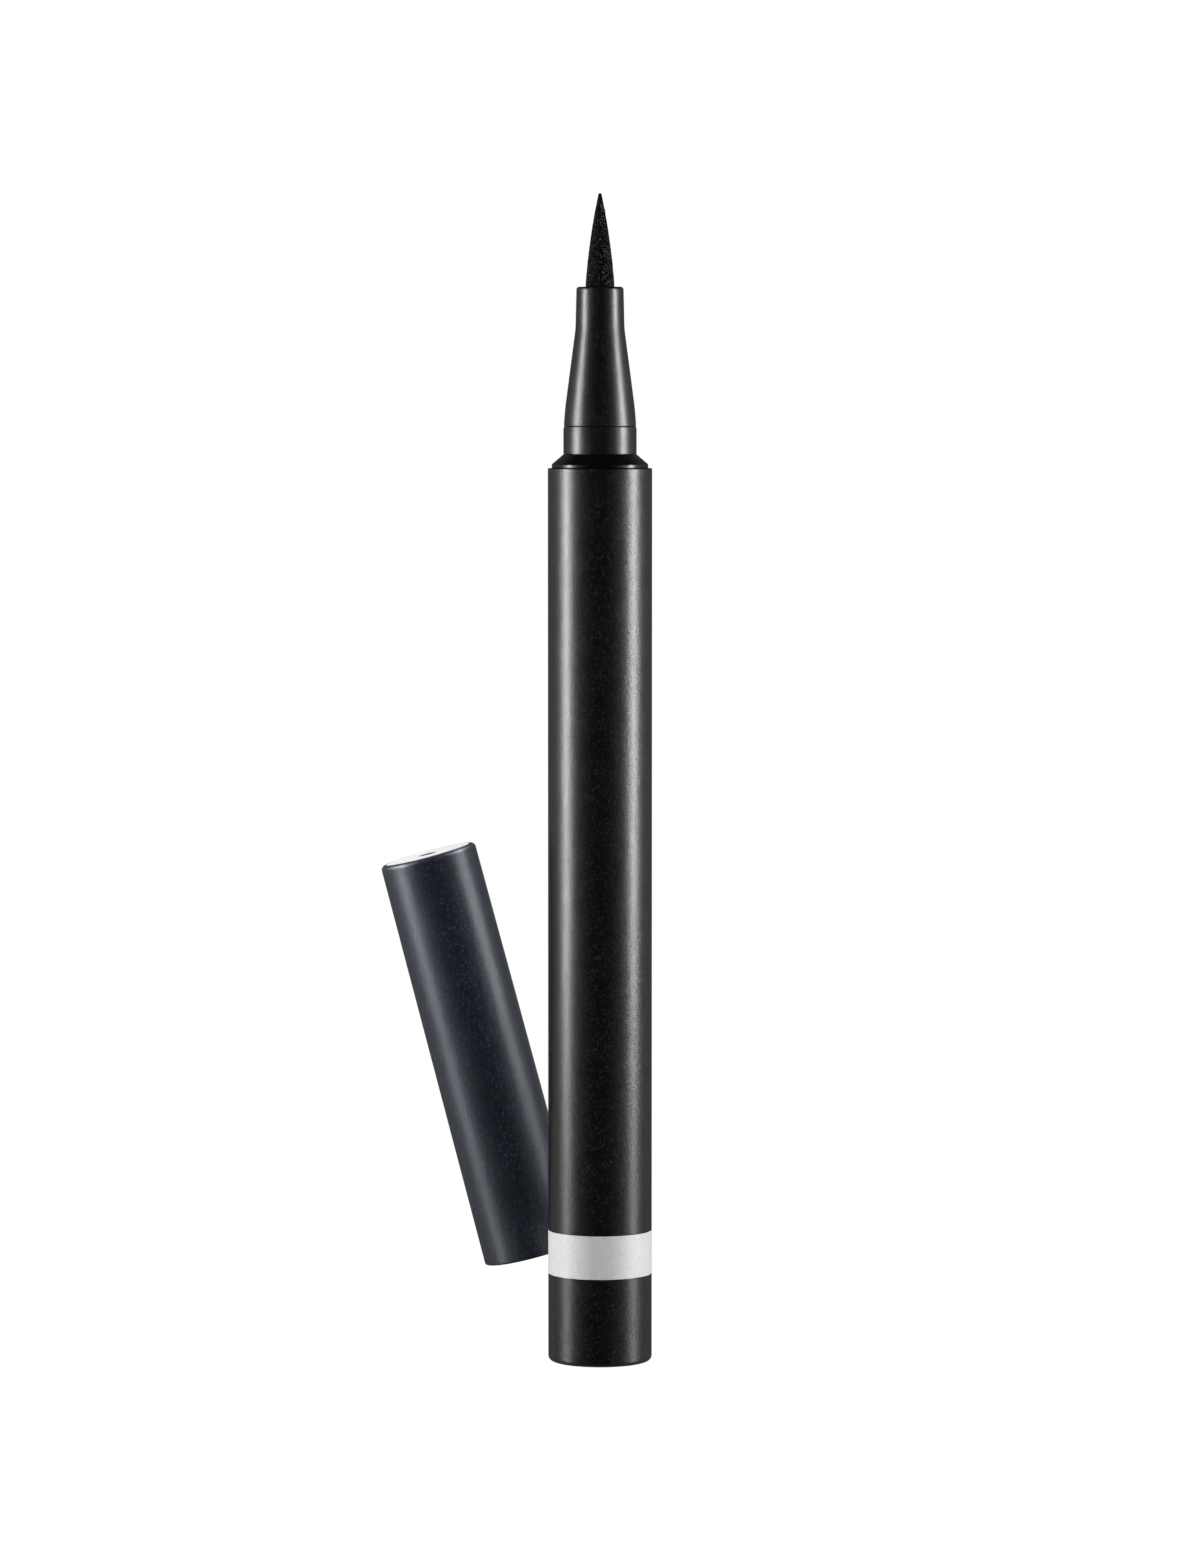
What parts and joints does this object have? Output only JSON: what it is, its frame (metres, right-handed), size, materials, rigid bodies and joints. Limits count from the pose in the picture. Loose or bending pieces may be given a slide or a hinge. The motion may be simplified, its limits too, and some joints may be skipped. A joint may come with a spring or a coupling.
{
  "type": "liquid eyeliner pen",
  "caption": "Slim round liquid eyeliner pen with a tapered fibre nib, a pale shade band and a matching cap taken off and leaning behind it.",
  "frame": {"origin": "centre of the tail face that the pen stands on", "axes": "+Z along the pen's axis towards the nib, +X to the right and +Y away from a viewer who sees the cap at the left"},
  "size_m": [0.0289, 0.0195, 0.1237],
  "materials": {
    "pearl_black": "satin pearl lacquer",
    "pale_band": "satin print",
    "black_plastic": "moulded",
    "ink_fibre": "ink-soaked polyester fibre",
    "clear_film": "thin film",
    "gloss_black": "polished",
    "nib_fibre": "bonded fibre",
    "slate_black": "satin pearl lacquer",
    "white_plastic": "satin moulded",
    "natural_plastic": "moulded",
    "spring_steel": "drawn wire"
  },
  "bodies": {
    "pen": {"barrel": "pearl_black", "shade_band": "pale_band", "tail_plug": "black_plastic", "reservoir_core": "ink_fibre", "reservoir_wrap": "clear_film", "collar": "gloss_black", "neck_ring": "pearl_black", "nozzle": "pearl_black", "nib": "nib_fibre"},
    "cap": {"cap_shell": "slate_black", "cap_end_disc": "white_plastic", "inner_cap_spring": "spring_steel"},
    "inner_cap": {"inner_cap": "natural_plastic"}
  },
  "joints": [
    {"name": "cap_pull", "type": "slide", "parent": "pen", "child": "cap", "axis": [-0.2563, 0, 0.9666], "range_m": [0, 0.12]},
    {"name": "inner_cap_press", "type": "slide", "parent": "cap", "child": "inner_cap", "axis": [-0.2563, 0, 0.9666], "range_m": [0, 0.003], "stiffness_N_per_m": 300, "springref_m": -0.002, "deforming": ["inner_cap_spring"]}
  ]
}
